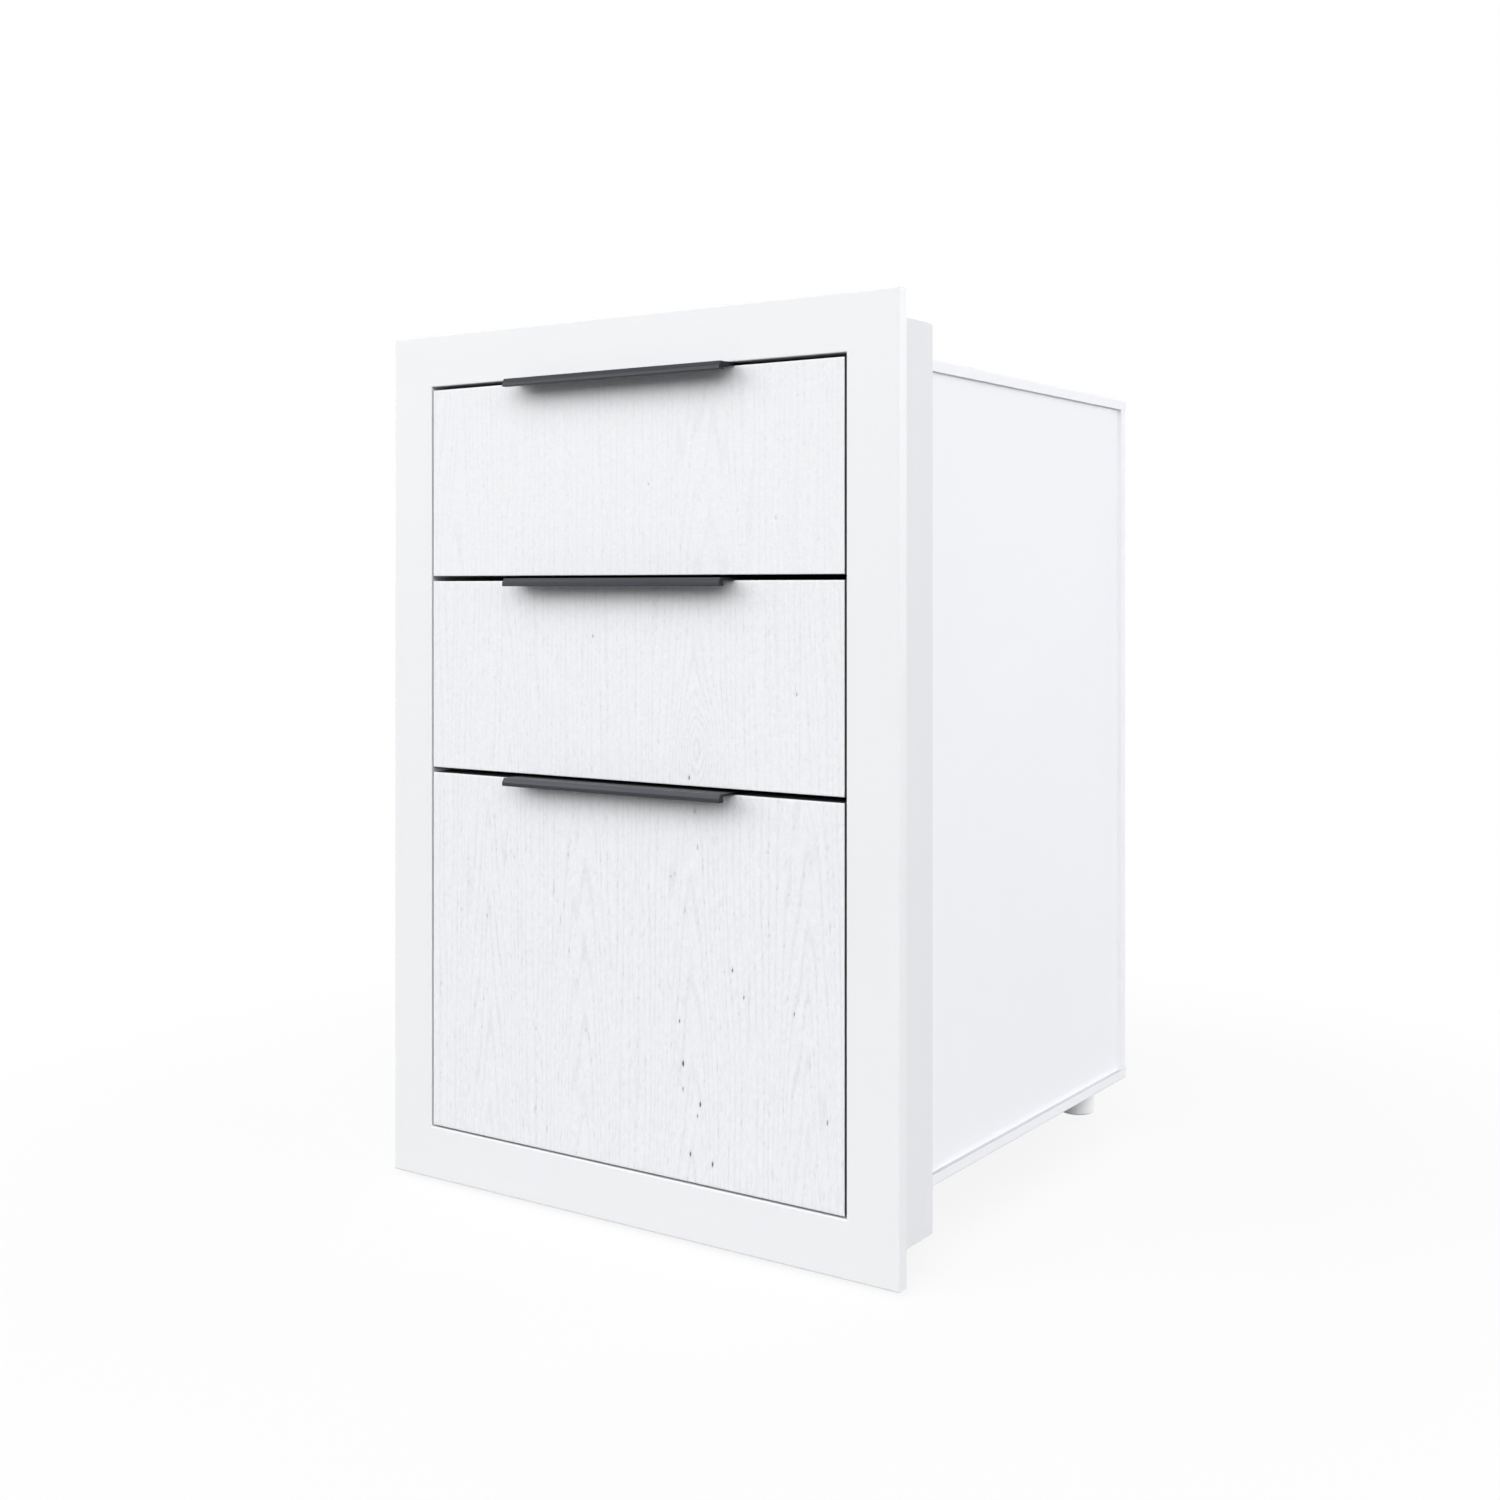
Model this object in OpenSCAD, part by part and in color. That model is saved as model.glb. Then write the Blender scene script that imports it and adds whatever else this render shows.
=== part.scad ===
// Built-in cabinet with three drawers, for the front of an outdoor kitchen island.
// Frame: +Z up, the drawers open towards -Y, and the origin is under the middle of the whole box.
// All lengths are in millimetres. Inside the modules, y is measured back from the front face,
// and in_place() then moves the piece to the part's own frame.

/* [Face frame] */
// Width of the face frame, over all
frame_w = 432; // [380:1:600]
// Height of the face frame, over all
frame_h = 620; // [560:1:800]
// Width of the visible border round the drawers
border = 38; // [34:0.5:60]
// Depth of the frame's folded outer edge
flange_d = 10; // [8:0.5:16]
// Width of the return folded in behind the frame's outer edge
flange_return = 10; // [7:0.5:10]
// How far the frame's inner edge is folded back into the opening
jamb_d = 12; // [8:0.5:16]
// Radius on the outside of the frame's folds
frame_fold_r = 1; // [0.5:0.1:1.5]

/* [Sheet metal] */
// Thickness of the cabinet's sheet
sheet_t = 3; // [2:0.1:3.5]
// Radius on the outside of the box's folds
box_fold_r = 1.5; // [0.5:0.1:2]
// Thickness of the drawer box's sheet
tray_t = 1.5; // [1:0.1:2]
// Gap left at each seam between two of the cabinet's sheets
seam = 0.1; // [0.05:0.05:0.3]

/* [Mounting sleeve] */
// From the frame's outer edge in to the outside of the sleeve
sleeve_inset = 14; // [14:0.5:17]
// From the back of the frame's edge to the rear of the sleeve
sleeve_d = 60; // [40:1:100]
// Radius of the fixing holes in the sleeve's top and bottom
fix_hole_r = 2.6; // [2:0.1:3.5]
// Distance between the two fixing holes of a row
fix_hole_pitch = 240; // [120:5:260]

/* [Cabinet box] */
// Depth from the front face to the back of the box
cabinet_d = 434; // [430:1:520]
// Height of the lip that the top and the bottom fold over the sides
rim_h = 8; // [5:0.5:14]
// Depth of the lip that the back folds over the sides
rear_rim_d = 9.5; // [5:0.5:16]

/* [Drawer fronts] */
// Thickness of a drawer front
front_t = 19; // [15:0.5:22]
// Height of each of the two upper fronts
upper_front_h = 136.5; // [110:0.5:150]
// Gap at each side of a front
side_gap = 1.5; // [1:0.1:3]
// Gap under the lowest front
bottom_gap = 1.5; // [1:0.1:4]
// Gap between two fronts
front_gap = 3.7; // [3:0.1:6]
// Gap over the top front
top_gap = 2.6; // [2.4:0.1:6]
// Radius on the edges of a front
front_edge_r = 0.8; // [0.4:0.1:2]

/* [Handles] */
// Length of a handle
handle_l = 186; // [120:1:260]
// How far a handle stands out from the front
handle_reach = 18; // [14:0.5:30]
// Thickness of the handle's plate
handle_t = 1.8; // [1.4:0.1:1.8]
// Thickness of the handle's nose, front to back
nose_t = 5; // [3.5:0.1:6]
// Height of the handle's nose
nose_h = 5.6; // [4:0.1:8]
// Depth of the slope on the nose's upper front edge
nose_slope_d = 1.8; // [0.8:0.1:2.4]
// Height of that slope
nose_slope_h = 3.1; // [1:0.1:3.2]
// Height of the leg behind the front
handle_leg_h = 16; // [12:0.5:18]
// Distance between the two screws of a handle
handle_screw_pitch = 128; // [96:1:160]
// Rounding of the nose's lower edges
nose_r = 0.6; // [0.3:0.1:0.8]
// Width of the grip groove behind the nose
groove_w = 1.2; // [0.6:0.1:3]
// Depth of the grip groove
groove_d = 0.5; // [0.2:0.1:0.8]

/* [Drawer boxes] */
// From the top of a drawer box up to its front's top edge
box_drop = 32.5; // [24:0.5:60]
// From a front's lower edge up to the bottom of its box
box_lift = 14; // [8:0.5:16]
// Width of the hem folded in along a box's top edges
hem_w = 8; // [4:0.5:12]
// Depth of the tabs that join a box's front and back to its sides
tab_d = 12; // [8:0.5:18]

/* [Drawer slides] */
// Room behind the slides and the drawer boxes
rear_room = 10; // [4:0.5:40]
// Height of a slide
rail_h = 45; // [44:0.5:46]
// Width of a slide, from the cabinet's wall to the drawer
rail_w = 12.7; // [12.6:0.1:13.2]
// Thickness of the slide's steel
strip_t = 1.2; // [1:0.05:1.3]
// Radius of a ball
ball_r = 1.9; // [1.7:0.05:2]
// Clearance between a ball and its track
ball_gap = 0.15; // [0.1:0.01:0.2]
// Straight lip below the track over a ball
rail_lip = 0.8; // [0.4:0.1:1]
// Thickness of the bead that keeps the balls on the drawer's member
bead_t = 0.8; // [0.5:0.1:1]
// Height of that bead
bead_h = 1; // [0.5:0.1:1.4]
// From the drawer member's web to the track round it
nest_gap = 1; // [0.6:0.1:1.2]
// Balls in each row of a cage
balls_per_row = 6; // [3:1:12]
// Thickness of a ball cage
cage_t = 0.5; // [0.4:0.05:0.6]
// Clearance at each side of a ball cage
cage_gap = 0.15; // [0.1:0.01:0.2]
// How far a cage stays inside both members' ends when the slide is out
cage_margin = 2; // [1:0.5:10]
// From a front's back to the front end of its slides
rail_setback = 2; // [2:0.5:6]
// From the bottom of a box up to the middle of its slides
rail_lift = 35; // [28:0.5:45]
// Distance between the screws along a slide
rail_screw_pitch = 160; // [120:1:175]
// Clearance round a screw's head in the hole that it is reached through
access_gap = 1.5; // [0.5:0.1:2.5]
// Length of the spare slots in the outer members
slot_l = 14; // [8:1:30]
// Half the width of a spare slot
slot_r = 2.3; // [1.5:0.1:3]

/* [Feet] */
// Radius of a foot
foot_r = 13.75; // [10:0.25:18]
// Height of a foot
foot_h = 25; // [15:0.5:30]
// Rounding of a foot's lower edge
foot_edge_r = 2; // [0.5:0.1:3]
// From the box's side in to the middle of a foot
foot_side_inset = 30; // [22:0.5:60]
// From the box's back in to the middle of a rear foot
foot_rear_inset = 30; // [22:0.5:60]
// From the sleeve's rear back to the middle of a front foot
foot_front_inset = 30; // [22:0.5:60]
// Radius of the foot's threaded stud
stud_r = 4; // [3:0.1:5]
// Length of the stud over the foot
stud_l = 18; // [16:0.5:19]
// Height of the nut over the bottom's sheet
nut_h = 6.5; // [4:0.5:8]
// Radius of the nut
nut_r = 6.4; // [6.4:0.1:8]
// Wall of the nut's shank
nut_shank_t = 1.4; // [0.8:0.1:2]

/* [Screws] */
// Radius of a screw's shank in the drawer fronts
screw_r = 1.95; // [1.5:0.05:2.2]
// How deep a front screw goes into the front
screw_bite = 12; // [8:0.5:13]
// Radius of a screw's head
screw_head_r = 3.8; // [3.2:0.1:4.2]
// Height of a screw's head
screw_head_h = 2; // [1.4:0.1:2.4]
// From a drawer box's side in to its front screws
front_screw_inset = 25; // [18:1:40]
// From a drawer box's top and bottom to its front screws
front_screw_margin = 20; // [12:1:28]
// Radius of a handle screw's shank
handle_screw_r = 1.5; // [1.2:0.1:2]
// How deep a handle screw goes into the front
handle_screw_bite = 10; // [6:0.5:12]
// Radius of the head of a slide's countersunk screw
flush_head_r = 3.2; // [2.6:0.1:4]
// Radius of the heads of a slide's rivets
rivet_head_r = 3.2; // [2.6:0.1:4]
// Height of the heads of a slide's rivets
rivet_head_h = 1; // [0.6:0.1:1.4]
// Clearance round a screw, stud or rivet in its hole
fit = 0.05; // [0.03:0.01:0.1]

/* [Hidden] */
$fn = 48;

POWDER_WHITE = [0.95, 0.955, 0.96];
GRAIN_WHITE = [0.93, 0.935, 0.94];
ANTHRACITE = [0.23, 0.24, 0.26];
ZINC = [0.72, 0.73, 0.75];
STEEL = [0.6, 0.61, 0.63];
NYLON_WHITE = [0.9, 0.9, 0.91];
TRAY_WHITE = [0.86, 0.87, 0.88];

// The opening and the cabinet box behind it
opening_w = frame_w - 2 * border;
opening_h = frame_h - 2 * border;
box_w = opening_w + 4 * sheet_t + 2 * seam;
box_h = opening_h + 4 * sheet_t + 2 * seam;
box_z = border - 2 * sheet_t - seam;
sleeve_rear = flange_d + sleeve_d;
fix_hole_y = (flange_d + sleeve_rear) / 2;
overall_d = cabinet_d + handle_reach;
front_plane = handle_reach - overall_d / 2;

// How far a cut runs past the face it opens
overcut = 1;

// Drawers are counted from the top
DRAWERS = [1, 2, 3];
front_w = opening_w - 2 * side_gap;
lower_front_h = opening_h - bottom_gap - top_gap - 2 * front_gap - 2 * upper_front_h;
function front_h(n) = n == 3 ? lower_front_h : upper_front_h;
function front_z(n) = n == 3
    ? border + bottom_gap
    : front_z(n + 1) + front_h(n + 1) + front_gap;
function front_top(n) = front_z(n) + front_h(n);
function tray_h(n) = front_h(n) - box_lift - box_drop;
function tray_z(n) = front_z(n) + box_lift;
function rail_z(n) = tray_z(n) + rail_lift;
tray_w = opening_w - 2 * rail_w;
tray_inner_w = tray_w - 2 * tray_t;
tray_fold_r = 2 * tray_t / 3;

// Slides: u runs from the cabinet's wall to the drawer, v is up from the slide's middle
rail_y = front_t + rail_setback;
rail_l = cabinet_d - sheet_t - rear_room - rail_y;
rail_middle = rail_y + rail_l / 2;
box_l = rail_l;
race_r = ball_r + ball_gap;
curl_r = race_r + strip_t;
outer_ball = [curl_r, rail_h / 2 - curl_r];
mid_top = outer_ball[1] - race_r;
outer_cage_u = strip_t + cage_gap;
mid_u = outer_cage_u + cage_t + cage_gap;
inner_cage_u = mid_u + strip_t + cage_gap;
inner_ball = [rail_w - strip_t - nest_gap - curl_r, mid_top - curl_r];
drawer_rail_top = inner_ball[1] - race_r;
drawer_rail_u = inner_ball[0] - race_r - bead_t;
blind_depth = 2 * sheet_t / 3;

// A drawer comes out by the length of its slides, and half the way is left to each pair of members
cage_l = rail_l / 2 - 2 * cage_margin;
ball_pitch = cage_l / balls_per_row;

// Feet
nut_shank_r = stud_r + nut_shank_t;
foot_x = box_w / 2 - foot_side_inset;
foot_front_y = sleeve_rear + foot_front_inset;
foot_rear_y = cabinet_d - foot_rear_inset;

// Moves a piece from the front face's coordinates to the part's own frame
module in_place() translate([0, front_plane, 0]) children();

// A profile in x and z, pushed back along y from y0 over the length l
module along_y(y0, l) translate([0, y0 + l, 0]) rotate([90, 0, 0]) linear_extrude(l) children();

// A profile drawn as depth and height, run across the cabinet
module across_x(l) rotate([90, 0, 90]) linear_extrude(l, center = true) children();

// A box that is centred on x
module wide_box(w, y0, y1, z0, z1) translate([-w / 2, y0, z0]) cube([w, y1 - y0, z1 - z0]);

// What rounding takes off a corner whose sides run towards +x and +y
module corner_waste(r) difference() {
    translate([-overcut, -overcut]) square([overcut + r, overcut + r]);
    translate([r, r]) circle(r);
}

// A rectangle with its two lower corners round, in plan or in section
module lower_rounded(w, h, r) difference() {
    translate([-w / 2, 0]) square([w, h]);
    for (s = [0, 1]) mirror([s, 0]) translate([-w / 2, 0]) corner_waste(r);
}

// A rectangle with all four corners round, from one corner to the other
module rounded_area(a, b, r) {
    translate([a[0] + r, a[1]]) square([b[0] - a[0] - 2 * r, b[1] - a[1]]);
    translate([a[0], a[1] + r]) square([b[0] - a[0], b[1] - a[1] - 2 * r]);
    for (x = [a[0] + r, b[0] - r], y = [a[1] + r, b[1] - r]) translate([x, y]) circle(r);
}

// A block inset all round from the frame's outline, from y0 to y1
module slab(inset, y0, y1) translate([inset - frame_w / 2, y0, inset])
    cube([frame_w - 2 * inset, y1 - y0, frame_h - 2 * inset]);

// The same block with its front and rear edges rounded: a plan pushed through a side view
module eased_slab(inset, y0, y1, r) intersection() {
    linear_extrude(frame_h) rounded_area([inset - frame_w / 2, y0], [frame_w / 2 - inset, y1], r);
    across_x(frame_w) rounded_area([y0, inset], [y1, frame_h - inset], r);
}

// The opening in plan, l wide, which flares at the front where the plate folds into the jamb
module flare(l) {
    translate([-l / 2, -overcut]) square([l, jamb_d + 2 * overcut]);
    for (s = [0, 1]) mirror([s, 0]) translate([l / 2, 0]) corner_waste(frame_fold_r);
}

module flared_opening() intersection() {
    linear_extrude(frame_h) flare(opening_w);
    across_x(frame_w) translate([0, frame_h / 2]) mirror([1, -1]) flare(opening_h);
}

// The face frame is one folded channel: front plate, outer edge, return and jamb
module face_frame() color(POWDER_WHITE) in_place() difference() {
    union() {
        difference() {
            eased_slab(0, 0, flange_d, frame_fold_r);
            slab(sheet_t, sheet_t, flange_d - sheet_t);
            slab(sheet_t + flange_return, sheet_t, flange_d + overcut);
        }
        slab(border - sheet_t, 0, jamb_d);
    }
    flared_opening();
}

// Two screws in a row fix the sleeve to the island, above and below
module fixing_holes() for (s = [-1, 1])
    translate([s * fix_hole_pitch / 2, fix_hole_y, 0]) cylinder(h = frame_h, r = fix_hole_r);

// The box's outline with its seams: narrower between the lips of the pans
module box_passage() {
    wide_box(opening_w + 2 * (sheet_t + seam), 0, cabinet_d, box_z - seam, box_z + box_h + seam);
    for (z = [box_z - seam, box_z + box_h - rim_h - seam])
        wide_box(box_w + 2 * seam, 0, cabinet_d, z, z + rim_h + 2 * seam);
}

// The sleeve is a wall behind the frame, folded in at the rear to meet the box
module mounting_sleeve() color(POWDER_WHITE) in_place() difference() {
    eased_slab(sleeve_inset, 0, sleeve_rear, box_fold_r);
    slab(0, -overcut, sheet_t + seam);
    slab(sleeve_inset + sheet_t, 0, sleeve_rear - sheet_t);
    box_passage();
    fixing_holes();
}

// The top and the bottom are shallow pans, whose lips lap over the sides
module pan_section() difference() {
    lower_rounded(box_w, rim_h, box_fold_r);
    translate([-box_w / 2 + sheet_t, sheet_t]) square([box_w - 2 * sheet_t, rim_h]);
}

module bottom_pan() along_y(sheet_t + seam, cabinet_d - sheet_t - seam) pan_section();

module bottom_panel() color(POWDER_WHITE) in_place() difference() {
    translate([0, 0, box_z]) bottom_pan();
    fixing_holes();
    at_feet() cylinder(h = frame_h, r = nut_shank_r + fit);
}

module top_panel() color(POWDER_WHITE) in_place() difference() {
    translate([0, 0, box_z + box_h]) mirror([0, 0, 1]) bottom_pan();
    fixing_holes();
}

// A side is a flat sheet between the pans, with blind holes for its slides' screws
module side_panel() difference() {
    translate([-opening_w / 2 - sheet_t, jamb_d + seam, border - sheet_t])
        cube([sheet_t, cabinet_d - sheet_t - jamb_d - 2 * seam, opening_h + 2 * sheet_t]);
    for (n = DRAWERS) at_rail_screws(n) along_u(-blind_depth - fit, 0, screw_r + fit);
}

module left_side_panel() color(POWDER_WHITE) in_place() side_panel();

module right_side_panel() color(POWDER_WHITE) in_place() mirror([1, 0, 0]) side_panel();

// The back is a sheet whose side lips fold forward over the sides
module back_panel() color(POWDER_WHITE) in_place() {
    translate([0, cabinet_d, box_z + rim_h + seam]) mirror([0, 1, 0])
        linear_extrude(box_h - 2 * (rim_h + seam)) difference() {
            lower_rounded(box_w, rear_rim_d, box_fold_r);
            translate([-box_w / 2 + sheet_t, sheet_t])
                square([box_w - 2 * sheet_t, rear_rim_d]);
        }
    wide_box(opening_w + 2 * sheet_t, cabinet_d - sheet_t, cabinet_d, border - sheet_t,
        border + opening_h + sheet_t);
}

// Slides are drawn at the left wall: u is along x, and v is along z
module at_left_wall() translate([-opening_w / 2, 0, 0]) children();

// A round bar along u, from u0 to u1
module along_u(u0, u1, r) translate([u0, 0, 0]) rotate([0, 90, 0]) cylinder(h = u1 - u0, r = r);

// Every screw along a slide
module at_rail_screws(n) at_left_wall() for (i = [-1 : 1])
    translate([0, rail_middle + i * rail_screw_pitch, rail_z(n)]) children();

// A rounded track over a ball: a half ring with a short straight lip
module ball_curl() {
    difference() {
        circle(curl_r);
        circle(race_r);
        translate([-curl_r, -curl_r]) square([2 * curl_r, curl_r]);
    }
    translate([race_r, -rail_lip]) square([strip_t, rail_lip]);
}

// The same track without its half on the cabinet's side
module half_curl() {
    difference() {
        circle(curl_r);
        circle(race_r);
        translate([-curl_r, -curl_r]) square([2 * curl_r, curl_r]);
        translate([-curl_r, 0]) square([curl_r, curl_r]);
    }
    translate([race_r, -rail_lip]) square([strip_t, rail_lip]);
}

module cabinet_rail_section() {
    translate([0, -outer_ball[1]]) square([strip_t, 2 * outer_ball[1]]);
    for (s = [0, 1]) mirror([0, s]) translate(outer_ball) ball_curl();
}

module mid_rail_section() {
    translate([mid_u, -mid_top]) square([strip_t, 2 * mid_top]);
    for (s = [0, 1]) mirror([0, s]) {
        translate([mid_u, mid_top - strip_t]) square([inner_ball[0] - mid_u, strip_t]);
        translate(inner_ball) half_curl();
    }
}

module drawer_rail_section() {
    translate([rail_w - strip_t, -drawer_rail_top]) square([strip_t, 2 * drawer_rail_top]);
    for (s = [0, 1]) mirror([0, s]) {
        translate([drawer_rail_u, drawer_rail_top - strip_t])
            square([rail_w - drawer_rail_u, strip_t]);
        translate([drawer_rail_u, drawer_rail_top - strip_t])
            square([bead_t, strip_t + bead_h]);
    }
}

// A countersunk screw's shape, flush with the inside of the slide, grown by g
module flush_screw(g) {
    along_u(-blind_depth, strip_t, screw_r + g);
    rotate([0, 90, 0]) cylinder(h = strip_t, r1 = screw_r + g, r2 = flush_head_r + g);
}

// A spare slot half way between every two screws, through whatever member it meets
module spare_slots(n) at_left_wall() for (s = [-1, 1])
    translate([0, rail_middle + s * rail_screw_pitch / 2, rail_z(n)]) {
        for (e = [-1, 1]) translate([0, e * (slot_l / 2 - slot_r), 0])
            along_u(-overcut, rail_w + overcut, slot_r);
        translate([-overcut, slot_r - slot_l / 2, -slot_r])
            cube([rail_w + 2 * overcut, slot_l - 2 * slot_r, 2 * slot_r]);
    }

module cabinet_rail(n) difference() {
    at_left_wall() translate([0, 0, rail_z(n)]) along_y(rail_y, rail_l) cabinet_rail_section();
    at_rail_screws(n) flush_screw(fit);
    spare_slots(n);
}

// The middle member has wide holes, through which the cabinet member's screws are reached
module mid_rail(n) difference() {
    at_left_wall() translate([0, 0, rail_z(n)]) along_y(rail_y, rail_l) mid_rail_section();
    at_rail_screws(n) along_u(0, rail_w, flush_head_r + access_gap);
}

module drawer_rail(n) difference() {
    at_left_wall() translate([0, 0, rail_z(n)]) along_y(rail_y, rail_l) drawer_rail_section();
    at_rail_screws(n) along_u(0, 2 * rail_w, screw_r + fit);
    spare_slots(n);
}

// Both sides of the cabinet
module both_sides() for (s = [0, 1]) mirror([s, 0, 0]) children();

// Every ball of a row, at its place along the slide
module at_balls() for (i = [0 : balls_per_row - 1])
    translate([0, rail_middle + (i - (balls_per_row - 1) / 2) * ball_pitch, 0]) children();

// A cage is a thin strip with a shelf that holds a row of balls on each edge
module ball_cage(ball, web_u) {
    difference() {
        along_y(rail_middle - cage_l / 2, cage_l) {
            translate([web_u, -ball[1] - cage_t / 2]) square([cage_t, 2 * ball[1] + cage_t]);
            for (s = [0, 1]) mirror([0, s]) translate([web_u, ball[1] - cage_t / 2])
                square([ball[0] + ball_r - web_u, cage_t]);
        }
        for (s = [-1, 1]) at_balls() translate([ball[0], 0, s * ball[1]]) sphere(ball_r + fit);
    }
    for (s = [-1, 1]) at_balls() translate([ball[0], 0, s * ball[1]]) sphere(ball_r);
}

module outer_ball_cages(n) color(STEEL) in_place() both_sides() at_left_wall()
    translate([0, 0, rail_z(n)]) ball_cage(outer_ball, outer_cage_u);

module inner_ball_cages(n) color(STEEL) in_place() both_sides() at_left_wall()
    translate([0, 0, rail_z(n)]) ball_cage(inner_ball, inner_cage_u);

module cabinet_rail_screws() color(ZINC) in_place() both_sides()
    for (n = DRAWERS) at_rail_screws(n) flush_screw(0);

module cabinet_rail_left(n) color(ZINC) in_place() cabinet_rail(n);

module cabinet_rail_right(n) color(ZINC) in_place() mirror([1, 0, 0]) cabinet_rail(n);

module mid_rail_left(n) color(ZINC) in_place() mid_rail(n);

module mid_rail_right(n) color(ZINC) in_place() mirror([1, 0, 0]) mid_rail(n);

module drawer_rail_left(n) color(ZINC) in_place() drawer_rail(n);

module drawer_rail_right(n) color(ZINC) in_place() mirror([1, 0, 0]) drawer_rail(n);

// The front's screws stand in from the corners of the drawer box
module at_front_screws(n) for (s = [-1, 1], z = [front_screw_margin, tray_h(n) - front_screw_margin])
    translate([s * (tray_w / 2 - front_screw_inset), front_t, tray_z(n) + z]) children();

module at_handle_screws(n) for (s = [-1, 1])
    translate([s * handle_screw_pitch / 2, front_t, front_top(n) - handle_leg_h / 2]) children();

// A round bar along y, from y0 to y1
module along_depth(y0, y1, r) translate([0, y0, 0]) rotate([-90, 0, 0]) cylinder(h = y1 - y0, r = r);

// A board with eased edges: three rounded blocks, each pushed through the others
module eased_board(w, t, h, r) intersection() {
    along_y(0, t) rounded_area([-w / 2, 0], [w / 2, h], r);
    across_x(w) rounded_area([0, 0], [t, h], r);
    linear_extrude(h) rounded_area([-w / 2, 0], [w / 2, t], r);
}

module drawer_front(n) color(GRAIN_WHITE) in_place() difference() {
    translate([0, 0, front_z(n)]) eased_board(front_w, front_t, front_h(n), front_edge_r);
    at_front_screws(n) along_depth(-screw_bite - fit, overcut, screw_r + fit);
    at_handle_screws(n) along_depth(-handle_screw_bite - fit, overcut, handle_screw_r + fit);
}

// The handle's profile: a plate over the front's top edge, a nose with a sloped brow, and a leg
module handle_section() difference() {
    union() {
        rounded_area([-handle_reach, handle_t - nose_h], [nose_t - handle_reach, handle_t], nose_r);
        translate([nose_t / 2 - handle_reach, 0])
            square([handle_reach + front_t - nose_t / 2, handle_t]);
        translate([front_t, -handle_leg_h]) square([handle_t, handle_leg_h]);
        translate([front_t, 0]) intersection() {
            circle(handle_t);
            square(handle_t);
        }
    }
    translate([nose_t - handle_reach, handle_t - groove_d]) square([groove_w, handle_t]);
    translate([-handle_reach, handle_t]) polygon([
        [0, -nose_slope_h], [nose_slope_d, 0], [nose_slope_d, overcut],
        [-overcut, overcut], [-overcut, -nose_slope_h],
    ]);
}

module handle(n) color(ANTHRACITE) in_place() difference() {
    translate([0, 0, front_top(n)]) across_x(handle_l) handle_section();
    at_handle_screws(n) along_depth(-overcut, handle_t + overcut, handle_screw_r + fit);
}

// The drawer's bottom and sides are one sheet, with hems folded in along the top
module drawer_tray(n) color(TRAY_WHITE) in_place() difference() {
    translate([0, 0, tray_z(n)]) along_y(front_t, box_l) difference() {
        lower_rounded(tray_w, tray_h(n), tray_fold_r);
        translate([-tray_inner_w / 2, tray_t]) square([tray_inner_w, tray_h(n) - 2 * tray_t]);
        translate([hem_w - tray_w / 2, tray_t]) square([tray_w - 2 * hem_w, tray_h(n)]);
    }
    both_sides() at_rail_screws(n)
        along_u(rail_w - overcut, rail_w + tray_t + overcut, screw_r + fit);
}

// A box end: a plate across the tray, with tabs along its sides
module tray_end(n) {
    wide_box(tray_inner_w, 0, tray_t, tray_z(n) + tray_t, tray_z(n) + tray_h(n) - tray_t);
    both_sides() translate([-tray_inner_w / 2, 0, tray_z(n) + tray_t])
        cube([tray_t, tab_d, tray_h(n) - 2 * tray_t]);
}

module drawer_inner_front(n) color(TRAY_WHITE) in_place() difference() {
    translate([0, front_t, 0]) tray_end(n);
    at_front_screws(n) along_depth(-overcut, tray_t + overcut, screw_r + fit);
}

module drawer_back(n) color(TRAY_WHITE) in_place()
    translate([0, front_t + box_l, 0]) mirror([0, 1, 0]) tray_end(n);

// Screws of the front and the handle, and the rivets of the slides
module drawer_screws(n) color(STEEL) in_place() {
    at_front_screws(n) {
        along_depth(-screw_bite, tray_t + screw_head_h, screw_r);
        along_depth(tray_t, tray_t + screw_head_h, screw_head_r);
    }
    at_handle_screws(n) {
        along_depth(-handle_screw_bite, handle_t + screw_head_h, handle_screw_r);
        along_depth(handle_t, handle_t + screw_head_h, screw_head_r);
    }
    both_sides() at_rail_screws(n) {
        along_u(rail_w - strip_t - rivet_head_h, rail_w - strip_t, rivet_head_r);
        along_u(rail_w - strip_t - rivet_head_h, rail_w + tray_t + rivet_head_h, screw_r);
        along_u(rail_w + tray_t, rail_w + tray_t + rivet_head_h, rivet_head_r);
    }
}

// Every foot's place under the box
module at_feet() for (x = [-foot_x, foot_x], y = [foot_front_y, foot_rear_y])
    translate([x, y, 0]) children();

// A nut pressed into the bottom for each foot
module foot_nuts() color(ZINC) in_place() at_feet() translate([0, 0, box_z]) difference() {
    union() {
        cylinder(h = sheet_t, r = nut_shank_r);
        translate([0, 0, sheet_t]) cylinder(h = nut_h, r = nut_r);
    }
    translate([0, 0, -overcut])
        cylinder(h = nut_h + sheet_t + 2 * overcut, r = stud_r + fit);
}

// A foot is a plain round block with an eased lower edge, round a stud's lower end
module foot(x, y) color(NYLON_WHITE) in_place() translate([x, y, box_z - foot_h])
    rotate_extrude() difference() {
        union() {
            translate([0, foot_edge_r]) square([foot_r, foot_h - foot_edge_r]);
            square([foot_r - foot_edge_r, foot_h]);
            translate([foot_r - foot_edge_r, foot_edge_r]) circle(foot_edge_r);
        }
        translate([0, foot_h / 2]) square([stud_r + fit, foot_h]);
    }

module stud(x, y) color(ZINC) in_place() translate([x, y, box_z - foot_h / 2])
    cylinder(h = foot_h / 2 + stud_l, r = stud_r);

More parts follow.
